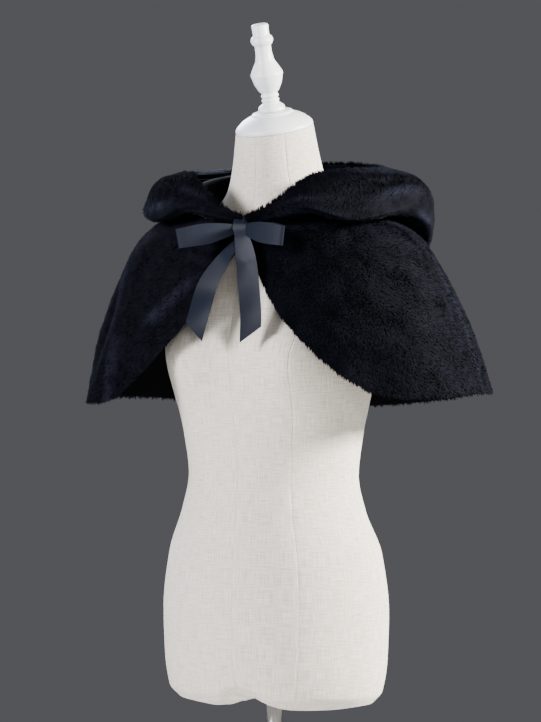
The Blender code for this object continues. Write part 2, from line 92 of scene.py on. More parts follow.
SEAM_DEPTH = 0.7 * MM
PANEL_COLUMNS = 9
FORM_SEAMS = (
    # angle in degrees at the hip, waist, bust and neck
    (-2.0, -3.0, -3.0, 0.0),
    (31.0, 33.0, 37.0, 42.0),
    (88.0, 88.0, 90.0, 92.0),
    (146.0, 150.0, 146.0, 140.0),
    (180.0, 180.0, 180.0, 180.0),
    (214.0, 210.0, 214.0, 220.0),
    (272.0, 272.0, 270.0, 268.0),
    (329.0, 327.0, 323.0, 318.0),
)
SEAM_HEIGHTS = (0.73, 1.03, 1.20, 1.49)

# Neck cap and finial, turned, on the tilted neck.
NECK_TOP = 1.4960
NECK_TILT = 12.5
NECK_LEAN = 2.6
SEAT_GAP = 0.3 * MM
CAP_PROFILE = (
    # radius height
    (0.0000, 0.0250),
    (0.0185, 0.0250),
    (0.0262, 0.0242),
    (0.0282, 0.0226),
    (0.0288, 0.0206),
    (0.0350, 0.0190),
    (0.0430, 0.0145),
    (0.0496, 0.0088),
    (0.0526, 0.0052),
    (0.0530, 0.0030),
    (0.0530, 0.0004),
    (0.0526, 0.0000),
    (0.0000, 0.0000),
)
FINIAL_PROFILE = (
    # radius height
    (0.0000, 0.1190),
    (0.0100, 0.1190),
    (0.0116, 0.1170),
    (0.0110, 0.1040),
    (0.0142, 0.1010),
    (0.0156, 0.0970),
    (0.0142, 0.0925),
    (0.0110, 0.0890),
    (0.0112, 0.0790),
    (0.0128, 0.0690),
    (0.0172, 0.0610),
    (0.0215, 0.0530),
    (0.0222, 0.0500),
    (0.0214, 0.0472),
    (0.0190, 0.0380),
    (0.0140, 0.0280),
    (0.0100, 0.0240),
    (0.0120, 0.0222),
    (0.0122, 0.0200),
    (0.0100, 0.0178),
    (0.0120, 0.0158),
    (0.0122, 0.0138),
    (0.0102, 0.0116),
    (0.0140, 0.0090),
    (0.0176, 0.0060),
    (0.0184, 0.0030),
    (0.0184, 0.0000),
    (0.0000, 0.0000),
)

# Stand
FOOT_RADIUS = 0.165
POLE_RADIUS = 0.011
BOSS_RADIUS = 0.022
BOSS_TOP = 0.076
POLE_TOP = 0.7258

# Cape: rings from neck to hem, the swept front edges, the folds of the drape and the finer creases.
CAPE_TURN = math.radians(7.0)
PILE_TOP = 6.0 * MM
BACKING = 2.2 * MM
SIDE_SEAM = 95.0
HEM_TILT = 0.010
SEAM_GAP = 0.3 * MM
CAPE_RINGS = (
    # along  z_front z_side  z_back  half_width y_front  y_back
    (0.00, 1.3620, 1.3925, 1.4020, 0.0950, -0.1000, 0.0980),
    (0.15, 1.3450, 1.3795, 1.3800, 0.1350, -0.1100, 0.1250),
    (0.36, 1.3120, 1.3470, 1.3350, 0.1900, -0.1240, 0.1560),
    (0.52, 1.2680, 1.2980, 1.2780, 0.2190, -0.1400, 0.1850),
    (0.76, 1.2000, 1.2130, 1.1870, 0.2510, -0.1610, 0.2280),
    (1.00, 1.1270, 1.1280, 1.0980, 0.2690, -0.1760, 0.2720),
)
FRONT_EDGE = (
    # angle along
    (1.0, 0.12),
    (4.0, 0.28),
    (8.0, 0.42),
    (14.0, 0.57),
    (23.0, 0.74),
    (34.0, 0.89),
    (44.0, 0.970),
    (54.0, 0.995),
    (66.0, 1.00),
    (100.0, 1.00),
)
FOLDS = (
    # neck_deg hem_deg half_deg height start
    (-16.0, -62.0, 9.0, 0.011, 0.20),
    (-60.0, -78.0, 8.0, 0.008, 0.35),
    (44.0, 66.0, 12.0, 0.007, 0.45),
    (110.0, 114.0, 15.0, 0.014, 0.10),
    (150.0, 152.0, 11.0, 0.010, 0.55),
    (182.0, 181.0, 11.0, 0.012, 0.50),
    (212.0, 210.0, 12.0, 0.010, 0.55),
    (242.0, 238.0, 12.0, 0.012, 0.40),
)
CREASES = (
    # first_deg last_deg half_deg height_mm start end
    (-14.0, -37.0, 4.0, 4.5, 0.36, 0.70),
    (-24.0, -48.0, 5.0, -2.6, 0.34, 0.74),
    (-69.0, -47.0, 3.4, 3.6, 0.40, 0.76),
    (-46.0, -49.0, 3.4, 3.2, 0.64, 1.05),
    (-60.0, -58.0, 5.0, -2.8, 0.52, 1.05),
    (-84.0, -80.0, 4.0, -1.8, 0.30, 1.05),
    (26.0, 40.0, 6.0, 1.1, 0.35, 0.80),
    (50.0, 58.0, 5.0, -1.2, 0.30, 0.90),
    (34.0, 37.0, 5.0, 1.2, 0.62, 0.95),
    (89.0, 89.5, 3.0, -2.0, 0.26, 1.05),
    (95.2, 95.2, 2.4, 2.2, 0.26, 1.05),
    (128.0, 131.0, 5.0, -1.8, 0.60, 1.05),
    (140.0, 139.0, 3.5, 1.2, 0.66, 1.05),
    (166.0, 167.0, 5.0, -2.0, 0.68, 1.05),
    (196.0, 195.0, 4.5, -1.8, 0.62, 1.05),
    (226.0, 224.0, 5.0, -2.0, 0.60, 1.05),
    (252.0, 255.0, 3.0, 1.5, 0.40, 1.05),
)
HEM_INSET = 0.012
EDGE_INSET = 0.016

# Hood, laid back in a pouch round the shoulders.
HOOD_RINGS = (
    # z_front z_side z_back half_width y_front y_back front_power
    (1.3740, 1.4050, 1.2950, 0.1975, -0.1310, 0.2500, 3.0),
    (1.3770, 1.4290, 1.4000, 0.1800, -0.1260, 0.2330, 6.0),
    (1.3800, 1.4420, 1.4520, 0.1330, -0.1190, 0.1850, 8.0),
)
HOOD_TILT = 0.003
HOOD_STAND_FRONT = 0.003
HOOD_STAND = 0.016
HOOD_STANDS = (55.0, 125.0)
HOOD_CREST_OUT = 0.013
NECK_SEAM_GAPS = 1.8
HOOD_FOLD_ALONG = (
    # angle along
    (0.0, 0.06),
    (30.0, 0.16),
    (60.0, 0.23),
    (95.0, 0.27),
    (125.0, 0.39),
    (150.0, 0.54),
    (172.0, 0.60),
    (180.0, 0.60),
)
HOOD_CLEAR = 7.0 * MM
HOOD_TURN = 13.5 * MM
HOOD_FIRST = 1.5
CENTRE_GAP = 0.09
HOOD_ROLLS = (4.0, 40.0)
HOOD_SWELL = (0.12, 0.46)
HOOD_OPENS = (22.0, 58.0)
HOOD_CREASES = (
    # degrees share half_deg half_share height_mm
    (38.0, 0.52, 9.0, 0.035, 1.6),
    (33.0, 0.66, 10.0, 0.050, 1.2),
    (50.0, 0.73, 8.0, 0.030, -3.0),
    (62.0, 0.78, 9.0, 0.030, -3.6),
    (77.0, 0.80, 10.0, 0.030, -3.0),
    (58.0, 0.71, 11.0, 0.040, 2.0),
    (75.0, 0.74, 11.0, 0.040, 2.4),
    (106.0, 0.54, 8.0, 0.050, 2.6),
    (118.0, 0.84, 14.0, 0.050, -1.8),
    (140.0, 0.70, 9.0, 0.070, 1.6),
    (162.0, 0.78, 10.0, 0.090, -1.4),
    (-30.0, 0.80, 9.0, 0.050, 1.8),
    (-50.0, 0.62, 9.0, 0.050, 2.0),
    (-54.0, 0.84, 13.0, 0.040, -2.2),
    (-88.0, 0.74, 14.0, 0.060, 1.5),
    (-112.0, 0.82, 12.0, 0.055, -1.5),
    (-138.0, 0.72, 10.0, 0.070, 1.5),
    (-160.0, 0.80, 10.0, 0.080, -1.3),
)

# Linings
LINING = 1.0 * MM
BACK_LINING_CLEAR = 1.0 * MM
HOOD_LINING_CLEAR = 2.5 * MM
LINING_SPAN = 0.09
HOOD_LINING_START = 11.9987
HOOD_LINING_INSET = 0.05

# Pile: short sheared strands in small tufts, turned out over the free edges. Counts and thickness for each panel.
PILE_LENGTH = 5.4 * MM
PILE_LEAN = 0.95
PILE_GRID = (160, 120)
TUFT = 2.4 * MM
ROOT_SINK = 0.4 * MM
EDGE_REACH = 7.0 * MM
EDGE_THICKER = 1.6
EDGE_LONGER = 0.35
PILE_TONE = 0.13
# Tone added along the creases of the pile: painted highlight.
PAINTED_LIGHT_TONE = 0.46
TIP_TONE = 0.9
# Painted shade: taken off the tone all over the hood, so that it reads darker than the cape under the same lamps.
HOOD_PAINTED_SHADE = 0.12
FRONT_PILE = (36000, 0.92 * MM)
BACK_PILE = (37000, 1.15 * MM)
HOOD_PILE = (37000, 0.98 * MM)

# Bow, in the cape's own frame.
RIBBON = 0.6 * MM
KNOT_AT = (0.000, -0.1209, 1.3640)
KNOT_SIZE = (0.022, 0.016, 0.022)
LOOP_LENGTH = 0.080
LOOP_PUFF = 0.0080
LOOP_ROOT = -0.0030
LOOP_WIDTHS = ((0.0, 0.012), (0.25, 0.021), (0.6, 0.028), (1.0, 0.026))
LEFT_LOOP_WAY = (0.85, -0.50, -0.10)
RIGHT_LOOP_WAY = (-0.85, -0.50, -0.16)
RIGHT_TAIL_WIDTHS = ((0.0, 0.009), (0.14, 0.013), (0.30, 0.020), (0.50, 0.027), (1.0, 0.029))
TAIL_FACING = (0.10, -1.0, 0.05)
TAIL_CUT = 0.11
LEFT_TAIL_WIDTHS = ((0.0, 0.016), (0.12, 0.019), (0.20, 0.018), (0.36, 0.025), (0.55, 0.029), (1.0, 0.029))
LEFT_TAIL = (
    # x y z, first over the front of the knot
    (0.000, -0.1235, 1.3738),
    (0.000, -0.1288, 1.3715),
    (0.001, -0.1314, 1.3640),
    (0.004, -0.1318, 1.3510),
    (0.012, -0.1372, 1.3250),
    (0.020, -0.1470, 1.2850),
    (0.024, -0.1505, 1.2500),
    (0.024, -0.1520, 1.2130),
)
RIGHT_TAIL = (
    (-0.002, -0.1195, 1.3510),
    (-0.019, -0.1360, 1.3250),
    (-0.038, -0.1480, 1.2880),
    (-0.048, -0.1510, 1.2560),
    (-0.059, -0.1520, 1.2180),
)

# Camera, from the photograph
IMAGE_WIDTH = 541
IMAGE_HEIGHT = 722
VIEW_TURN = math.radians(28.0)
VIEW_AWAY = 5.2
VIEW_HEIGHT = 1.46
AIM_HEIGHT = 1.181
METRES_A_PIXEL = 1.36 * MM
POLE_COLUMN = 274.6
SENSOR = 36.0

# Lights, from where the camera stands
LAMPS = (
    # name right near up aim_up size power colour
    ("key_light", -2.6, 1.9, 2.3, 1.10, 0.9, 142.0, "#fbfaff"),
    ("side_light", 2.6, 0.60, 2.15, 0.95, 0.40, 250.0, "#fffcf6"),
    ("fill_light", 0.4, 4.0, 1.9, 1.25, 1.4, 36.0, "#fffefc"),
    ("rim_light", -0.9, -2.1, 2.6, 1.30, 1.0, 60.0, "#e6eeff"),
)


# Curves and surfaces


def smooth(rows):
    """A curve through (key, value) rows that never swings past them."""
    keys, values = np.array(rows, float).T
    rise = np.diff(values) / np.diff(keys)
    before, after = rise[:-1], rise[1:]
    same = before * after > 0.0
    inner = np.where(same, 2.0 * before * after / np.where(same, before + after, 1.0), 0.0)
    slope = np.concatenate([rise[:1], inner, rise[-1:]])

    def at(key):
        k = np.clip(np.searchsorted(keys, key) - 1, 0, len(keys) - 2)
        width = keys[k + 1] - keys[k]
        f = np.clip((key - keys[k]) / width, 0.0, 1.0)
        return (
            (2 * f**3 - 3 * f**2 + 1) * values[k]
            + (f**3 - 2 * f**2 + f) * width * slope[k]
            + (3 * f**2 - 2 * f**3) * values[k + 1]
            + (f**3 - f**2) * width * slope[k + 1]
        )

    return at


def columns(table):
    """One smooth curve a column, keyed by the first column."""
    return [smooth([(row[0], row[k]) for row in table]) for k in range(1, len(table[0]))]


def ease(low, high, value):
    f = np.clip((np.asarray(value, float) - low) / (high - low), 0.0, 1.0)
    return f * f * (3.0 - 2.0 * f)


def unit(vectors):
    return vectors / np.maximum(np.linalg.norm(vectors, axis=-1, keepdims=True), 1e-12)


def facing_of(surface, u, v, step=1e-4):
    """The way a surface faces at (u, v)."""
    along_u = surface(u + step, v) - surface(u - step, v)
    along_v = surface(u, v + step) - surface(u, v - step)
    return unit(np.cross(along_u, along_v))


def outward(angle):
    return np.stack([np.sin(angle), -np.cos(angle), np.zeros_like(angle)], -1)


def with_cape(points):
    """From the cape's own frame to its turned place on the form."""
    c, s = math.cos(CAPE_TURN), math.sin(CAPE_TURN)
    x, y, z = np.moveaxis(points, -1, 0)
    return np.stack([c * x - s * y, s * x + c * y, z], -1)


def on_neck(point):
    """From the neck's tilted top to the row frame."""
    turn = Euler((math.radians(NECK_TILT), math.radians(-NECK_LEAN), 0.0)).to_matrix()
    return turn @ Vector(point) + Vector((0.0, 0.0, NECK_TOP))


form_half, form_front, form_back, form_tilt = columns(FORM_LEVELS)
ring_curves = columns(CAPE_RINGS)
edge_along = smooth(FRONT_EDGE)
fold_along = smooth(HOOD_FOLD_ALONG)


def form_point(angle, height):
    """A point of the form's skin."""
    middle = (form_front(height) + form_back(height)) / 2.0
    depth = (form_back(height) - form_front(height)) / 2.0
    x = form_half(height) * np.sin(angle)
    y = middle - depth * np.cos(angle)
    for side in (-1.0, 1.0):
        away = ((x - side * BUST_SPREAD) / BUST_WIDTH) ** 2 + ((height - BUST_HEIGHT) / BUST_RISE) ** 2
        y = y - BUST_DEPTH * np.exp(-away) * ease(0.0, 0.45, np.cos(angle))
    tilt = form_tilt(height)
    z = height + np.tan(np.radians(tilt)) * (y - middle)
    z = z + np.tan(np.radians(NECK_LEAN * tilt / NECK_TILT)) * x
    z = z + ARCH_HEIGHT * np.exp(-((x / ARCH_WIDTH) ** 2)) * (1.0 - ease(0.72, 0.79, height))
    return np.stack([x, y, z], -1)


def ring_point(angle, z_front, z_side, z_back, half, y_front, y_back, power=2.0):
    """A point of an upright ring with its own front, side and back height."""
    sine, cosine = np.sin(angle), np.cos(angle)
    rise = np.where(cosine > 0.0, (z_front - z_side) * np.abs(cosine) ** power, (z_back - z_side) * cosine**2)
    y = (y_front + y_back) / 2.0 - (y_back - y_front) / 2.0 * cosine
    return np.stack([half * sine, y, z_side + rise], -1)


def turn_between(degrees, middle):
    return (degrees - middle + 180.0) % 360.0 - 180.0


def drape_height(angle, along):
    """How far the folds and creases stand out here."""
    degrees = np.degrees(angle)
    out = np.zeros_like(degrees)
    for neck_deg, hem_deg, half_deg, height, start in FOLDS:
        away = turn_between(degrees, neck_deg + (hem_deg - neck_deg) * along)
        out = out + height * np.exp(-((away / half_deg) ** 2)) * ease(start, 1.0, along)
    return out + crease_height(angle, along)


def crease_height(angle, along):
    degrees = np.degrees(angle)
    out = np.zeros_like(degrees)
    for first_deg, last_deg, half_deg, height, start, end in CREASES:
        run = np.clip((along - start) / (end - start), 0.0, 1.0)
        away = turn_between(degrees, first_deg + (last_deg - first_deg) * run)
        swell = ease(0.0, 0.35, run) * (1.0 - 0.8 * ease(0.75, 1.0, run))
        out = out + height * MM * np.exp(-((away / half_deg) ** 2)) * swell
    return out


def cape_inside(angle, along):
    """The lining side of the fur cloth."""
    mean = ring_point(angle, *[curve(along) for curve in ring_curves])
    tilt = HEM_TILT * np.sin(angle) * along**2
    lifted = outward(angle) * drape_height(angle, along)[..., None]
    return mean + lifted + tilt[..., None] * np.array((0.0, 0.0, 1.0))


def cape_face(angle, along, lift):
    """A face a little way out from the lining side."""
    held = np.clip(along, 0.001, 0.999)
    return cape_inside(angle, along) - facing_of(cape_inside, angle, held) * lift


def roll(start, end, out, swell, count):
    """Points of a round arc from start to end that swells outward by a share of its chord."""
    chord = np.linalg.norm(end - start, axis=-1, keepdims=True)
    along = (end - start) / chord
    away = unit(out - along * np.sum(out * along, -1, keepdims=True))
    sag = swell[..., None] * chord
    radius = (chord**2 / 4.0 + sag**2) / (2.0 * sag)
    half = 2.0 * np.arctan(2.0 * swell)[..., None]
    centre = (start + end) / 2.0 + away * (sag - radius)
    turns = [half * (2.0 * k / (count - 1) - 1.0) for k in range(count)]
    return np.stack([centre + (away * np.cos(t) + along * np.sin(t)) * radius for t in turns])


def through(points, share):
    """A smooth path through rows of points, by their distance apart."""
    gaps = np.sqrt(np.linalg.norm(np.diff(points, axis=0), axis=-1))
    steps = np.concatenate([np.zeros_like(gaps[:1]), np.cumsum(gaps, 0)])
    place = share * steps[-1]
    k = np.clip(np.sum(place[None] > steps[1:-1], 0), 0, len(points) - 2)
    longer = np.concatenate([2 * points[:1] - points[1:2], points, 2 * points[-1:] - points[-2:-1]])

    def pick(rows, index):
        index = index[None]
        if rows.ndim > index.ndim:
            index = index[..., None]
        return np.take_along_axis(rows, index, 0)[0]

    before, here, ahead, after = [pick(longer, k + n) for n in range(4)]
    t1, t2 = pick(steps, k)[..., None], pick(steps, k + 1)[..., None]
    t0 = t1 - np.sqrt(np.linalg.norm(here - before, axis=-1, keepdims=True))
    t3 = t2 + np.sqrt(np.linalg.norm(after - ahead, axis=-1, keepdims=True))
    t = place[..., None]
    a1 = (t1 - t) / (t1 - t0) * before + (t - t0) / (t1 - t0) * here
    a2 = (t2 - t) / (t2 - t1) * here + (t - t1) / (t2 - t1) * ahead
    a3 = (t3 - t) / (t3 - t2) * ahead + (t - t2) / (t3 - t2) * after
    b1 = (t2 - t) / (t2 - t0) * a1 + (t - t0) / (t2 - t0) * a2
    b2 = (t3 - t) / (t3 - t1) * a2 + (t - t1) / (t3 - t1) * a3
    return (t2 - t) / (t2 - t1) * b1 + (t - t1) / (t2 - t1) * b2


def from_front(angle):
    """Degrees from the front, whichever way round."""
    return 180.0 - np.abs(180.0 - np.abs(np.degrees(angle)))


def neck_seam(angle, lift):
    """Where the hood's edge lies, just clear of the neck edge of the cape."""
    zero = np.zeros_like(angle)
    downhill = unit(cape_inside(angle, zero + 0.004) - cape_inside(angle, zero))
    return cape_face(angle, zero, lift) - downhill * SEAM_GAP * NECK_SEAM_GAPS


def hood_section(angle):
    """Points of the hood's pile face from the neck seam over, down the back, round the fold and up to the rim."""
    out = outward(angle)
    up = np.array((0.0, 0.0, 1.0))
    degrees = from_front(angle)
    fold = fold_along(degrees)
    seam = neck_seam(angle, PILE_TOP)
    height = (HOOD_STAND_FRONT + HOOD_STAND * ease(*HOOD_STANDS, degrees))[..., None]
    stand = seam + up * height + out * 0.001
    crest = seam + up * (height + 0.002) + out * HOOD_CREST_OUT
    under = cape_face(angle, fold * 0.60, PILE_TOP + HOOD_CLEAR * 1.3)
    bottom = cape_face(angle, fold, PILE_TOP + HOOD_CLEAR)
    away = unit(cape_face(angle, fold, PILE_TOP) - cape_face(angle, fold, 0.0))
    down = unit(cape_inside(angle, fold + 0.01) - cape_inside(angle, fold - 0.01))
    low = bottom + away * HOOD_TURN + down * HOOD_TURN
    tilt = up * (HOOD_TILT * np.sin(angle))[..., None]
    bulge, upper, rim = [ring_point(angle, *row) + tilt for row in HOOD_RINGS]
    draped = np.stack([seam, stand, crest, under, bottom, low, bulge, upper, rim])
    swell = HOOD_SWELL[0] + HOOD_SWELL[1] * ease(*HOOD_ROLLS, degrees)
    rolled = roll(seam, rim, out, swell, len(draped))
    return rolled + (draped - rolled) * ease(*HOOD_OPENS, degrees)[..., None]


def hood_outside(angle, share):
    return through(hood_section(angle), np.clip(share, 0.0, 1.0))


def hood_crease(angle, share):
    degrees = np.degrees(angle)
    out = np.zeros_like(degrees)
    for middle, at_share, half_deg, half_share, height in HOOD_CREASES:
        away = (turn_between(degrees, middle) / half_deg) ** 2 + ((share - at_share) / half_share) ** 2
        out = out + height * MM * np.exp(-away)
    return out


def hood_face(angle, share, depth):
    """A face inside the pile face of the hood, with its creases."""
    held = np.clip(share, 0.002, 0.998)
    facing = facing_of(hood_outside, angle, held, 0.0015)
    return hood_outside(angle, share) - facing * (depth - hood_crease(angle, share))[..., None]


def hood_lining_face(angle, share, depth):
    """The lining follows the fur cloth, and bridges the tight inside of the fold."""
    near = hood_face(angle, share, depth)
    bridge = ease(0.34, 0.42, share) * (1.0 - ease(0.76, 0.84, share))
    ends = hood_face(angle, share - LINING_SPAN, depth) + hood_face(angle, share + LINING_SPAN, depth)
    return near + (ends / 2.0 - near) * (0.95 * bridge)[..., None]


# Modelling


def deselect():
    if bpy.context.object and bpy.context.object.mode != "OBJECT":
        bpy.ops.object.mode_set(mode="OBJECT")
    bpy.ops.object.select_all(action="DESELECT")


def choose(piece):
    deselect()
    piece.select_set(True)
    bpy.context.view_layer.objects.active = piece


def points_of(mesh):
    places = np.empty(len(mesh.vertices) * 3)
    mesh.vertices.foreach_get("co", places)
    return places.reshape(-1, 3)


def lay_chart(mesh, chart):
    """Maps a mesh in metres, from a row of chart for each point."""
    corners = np.empty(len(mesh.loops), int)
    mesh.loops.foreach_get("vertex_index", corners)
    mesh.uv_layers.active.data.foreach_set("uv", chart[corners].ravel())


def finish_piece(piece, name, finish, replaced):
    """Names a piece, paints it and seats it in the frame."""
    piece.name = name
    piece.data.name = name
    piece.data.materials.clear()
    piece.data.materials.append(finish)
    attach(piece, "root")
    if replaced:
        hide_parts(*replaced)
    return piece


def smooth_shade(piece, degrees=40.0):
    choose(piece)
    bpy.ops.object.shade_smooth_by_angle(angle=math.radians(degrees))


def apply_modifier(piece, kind, **settings):
    step = piece.modifiers.new(kind.title(), kind)
    for key, value in settings.items():
        setattr(step, key, value)
    choose(piece)
    bpy.ops.object.modifier_apply(modifier=step.name)


def cloth(name, surface, across, down, wall, size, finish, slot, replaced):
    """A cloth shell: a grid laid on a surface of (u, v), its map in metres, then given its wall."""
    deselect()
    bpy.ops.mesh.primitive_grid_add(x_subdivisions=across, y_subdivisions=down, size=1.0)
    piece = bpy.context.object
    mesh = piece.data
    u, v = points_of(mesh)[:, :2].T + 0.5
    mesh.vertices.foreach_set("co", surface(u, v).ravel())
    lay_chart(mesh, np.stack([u * size[0], v * size[1]], -1))
    mesh.update()
    apply_modifier(piece, "SOLIDIFY", thickness=wall, offset=0.0, use_even_offset=False)
    smooth_shade(piece, 60.0)
    return finish_piece(piece, name, finish, replaced)


def turned(name, profile, place, steps, finish, replaced):
    """A turned piece: the profile drawn edge by edge, then spun round its axis."""
    deselect()
    bpy.ops.mesh.primitive_plane_add(size=0.001)
    piece = bpy.context.object
    bpy.ops.object.mode_set(mode="EDIT")
    bpy.ops.mesh.select_all(action="SELECT")
    bpy.ops.mesh.merge(type="CENTER")
    here = Vector((0.0, 0.0, 0.0))
    for count, (radius, height) in enumerate(profile):
        there = Vector((radius, 0.0, height))
        if count:
            bpy.ops.mesh.extrude_region_move(TRANSFORM_OT_translate={"value": there - here})
        else:
            bpy.ops.transform.translate(value=there - here)
        here = there
    bpy.ops.mesh.select_all(action="SELECT")
    bpy.ops.mesh.spin(steps=steps, angle=2.0 * math.pi, center=(0.0, 0.0, 0.0), axis=(0.0, 0.0, 1.0))
    bpy.ops.mesh.select_all(action="SELECT")
    bpy.ops.mesh.remove_doubles(threshold=0.00002)
    bpy.ops.mesh.normals_make_consistent(inside=False)
    bpy.ops.object.mode_set(mode="OBJECT")
    for vert in piece.data.vertices:
        vert.co = place(vert.co)
    smooth_shade(piece, 50.0)
    return finish_piece(piece, name, finish, replaced)


def rounded(profile, bevel):
    """A turned profile with its corners eased by two points each, and its ends kept on the axis."""
    out = [profile[0]]
    for before, here, after in zip(profile, profile[1:], profile[2:]):
        here_at = Vector(here)
        for end in (Vector(before), Vector(after)):
            reach = min(bevel, (end - here_at).length * 0.35)
            out.append(tuple(here_at + (end - here_at).normalized() * reach))
    out.append(profile[-1])
    return out


# Materials


def paint(hex_colour):
    """An sRGB hex colour as linear values."""
    parts = [int(hex_colour[k : k + 2], 16) / 255.0 for k in (1, 3, 5)]
    return (*[p / 12.92 if p <= 0.04045 else ((p + 0.055) / 1.055) ** 2.4 for p in parts], 1.0)


def node(tree, kind, links=(), values=(), **settings):
    """Adds a shader node with its settings, its values and the sockets that feed it."""
    made = tree.nodes.new(kind)
    for key, value in settings.items():
        setattr(made, key, value)
    for key, value in dict(values).items():
        made.inputs[key].default_value = value
    for key, socket in dict(links).items():
        tree.links.new(socket, made.inputs[key])
    return made


def surface_of(name, **sockets):
    """A material of one Principled shader, with its constant sockets set."""
    made = bpy.data.materials.new(name)
    made.use_nodes = True
    tree = made.node_tree
    shader = tree.nodes["Principled BSDF"]
    for key, value in sockets.items():
        shader.inputs[key.replace("_", " ").title().replace("Ior", "IOR")].default_value = value
    return made, tree, shader


def coloured(tree, shader, factor, dark, light):
    """Colours a surface between two paints."""
    shade = node(tree, "ShaderNodeMix", {0: factor}, {6: paint(dark), 7: paint(light)}, data_type="RGBA")
    tree.links.new(shade.outputs[2], shader.inputs["Base Color"])


def raised(tree, shader, height, strength, depth):
    """Gives a surface its fine relief."""
    relief = node(tree, "ShaderNodeBump", {"Height": height}, {"Strength": strength, "Distance": depth})
    tree.links.new(relief.outputs["Normal"], shader.inputs["Normal"])


def drawn_out(tree, vector, scale, detail):
    """Noise drawn out along an axis by its scale."""
    stretch = node(tree, "ShaderNodeMapping", {"Vector": vector}, {"Scale": scale})
    return node(
        tree, "ShaderNodeTexNoise", {"Vector": stretch.outputs["Vector"]}, {"Scale": 1.0, "Detail": detail}
    ).outputs["Fac"]


def threads_along(tree, axis, pitch):
    """Even ridges across an axis, one a pitch."""
    run = node(tree, "ShaderNodeMath", {0: axis}, {1: 2.0 * math.pi / pitch}, operation="MULTIPLY")
    return node(tree, "ShaderNodeMath", {0: run.outputs[0]}, operation="SINE").outputs[0]


def sheared_plush(name):
    """Sheared acrylic plush: dense short pile, near black, with a blue grey bloom where light grazes the tips."""
    made, tree, shader = surface_of(
        name,
        roughness=0.75,
        specular_ior_level=0.08,
        sheen_weight=0.07,
        sheen_roughness=0.32,
        sheen_tint=paint("#97a0bc"),
    )
    # Besides random tone, the tone attribute carries painted highlight along the creases and painted shade over the
    # hood.
    tone = node(tree, "ShaderNodeAttribute", attribute_name="tone")
    coloured(tree, shader, tone.outputs["Fac"], "#050509", "#3a3d4d")
    return made


def plush_ground(name):
    """The knitted ground of the plush, seen between the strands: blue black and matt, as dark as the pile."""
    made, tree, shader = surface_of(name, roughness=0.95, specular_ior_level=0.1)
    place = node(tree, "ShaderNodeTexCoord")
    tufts = node(
        tree, "ShaderNodeTexNoise", {"Vector": place.outputs["Object"]}, {"Scale": 1.0 / (2.4 * MM), "Detail": 2.0}
    )
    coloured(tree, shader, tufts.outputs["Fac"], "#12141b", "#191c26")
    raised(tree, shader, tufts.outputs["Fac"], 0.6, 0.6 * MM)
    return made


def acetate_satin(name):
    """Acetate satin lining: black, smooth, with a soft cool gloss and a hair fine twill drawn at 0.8 mm to show."""
    made, tree, shader = surface_of(name, roughness=0.55, specular_ior_level=0.04, anisotropic=0.35)
    chart = node(tree, "ShaderNodeUVMap")
    cloudy = node(tree, "ShaderNodeTexNoise", {"Vector": chart.outputs["UV"]}, {"Scale": 1.0 / (30.0 * MM)})
    coloured(tree, shader, cloudy.outputs["Fac"], "#050608", "#0b0c10")
    turn = node(
        tree, "ShaderNodeMapping", {"Vector": chart.outputs["UV"]}, {"Rotation": (0.0, 0.0, math.radians(60.0))}
    )
    twill = node(
        tree,
        "ShaderNodeTexWave",
        {"Vector": turn.outputs["Vector"]},
        {"Scale": math.pi / 10.0 / (0.8 * MM), "Distortion": 0.6},
    )
    raised(tree, shader, twill.outputs["Fac"], 0.12, 0.05 * MM)
    return made


def satin_ribbon(name):
    """Woven polyester satin ribbon: charcoal blue, fine cross ribs drawn at 0.7 mm to show, and a firm selvedge."""
    made, tree, shader = surface_of(
        name,
        roughness=0.46,
        specular_ior_level=0.22,
        sheen_weight=0.05,
        sheen_roughness=0.4,
        sheen_tint=paint("#aebfd8"),
        anisotropic=0.45,
    )
    chart = node(tree, "ShaderNodeUVMap")
    split = node(tree, "ShaderNodeSeparateXYZ", {"Vector": chart.outputs["UV"]})
    grain = drawn_out(tree, chart.outputs["UV"], (1.0 / (14.0 * MM), 1.0 / (1.1 * MM), 1.0), 3.0)
    coloured(tree, shader, grain, "#161a25", "#222836")
    raised(tree, shader, threads_along(tree, split.outputs["X"], 0.7 * MM), 0.10, 0.06 * MM)
    return made


def linen_cover(name):
    """Plain woven linen, unbleached to cream, stretched over the form: matt, with thick and thin threads. The
    weave is about 0.5 mm a thread and is drawn at 1.3 mm so that it shows."""
    made, tree, shader = surface_of(
        name, roughness=0.88, specular_ior_level=0.25, sheen_weight=0.10, sheen_roughness=0.6
    )
    chart = node(tree, "ShaderNodeUVMap")
    split = node(tree, "ShaderNodeSeparateXYZ", {"Vector": chart.outputs["UV"]})
    warp, weft = [threads_along(tree, split.outputs[axis], 2.6 * MM) for axis in ("X", "Y")]
    weave = node(tree, "ShaderNodeMath", {0: warp, 1: weft}, operation="MULTIPLY")
    slubs = []
    for scale in ((1.0 / (26.0 * MM), 1.0 / (1.3 * MM), 1.0), (1.0 / (1.3 * MM), 1.0 / (26.0 * MM), 1.0)):
        slubs.append(drawn_out(tree, chart.outputs["UV"], scale, 2.0))
    slub = node(tree, "ShaderNodeMath", {0: slubs[0], 1: slubs[1]}, operation="ADD")
    height = node(
        tree, "ShaderNodeMath", {0: weave.outputs[0], 2: slub.outputs[0]}, {1: 0.35}, operation="MULTIPLY_ADD"
    )
    tint = node(
        tree,
        "ShaderNodeMapRange",
        {"Value": height.outputs[0]},
        {"From Min": 0.30, "From Max": 1.70, "To Min": 0.0, "To Max": 1.0},
    )
    coloured(tree, shader, tint.outputs["Result"], "#a99a80", "#fffdf8")
    raised(tree, shader, height.outputs[0], 0.25, 0.35 * MM)
    return made


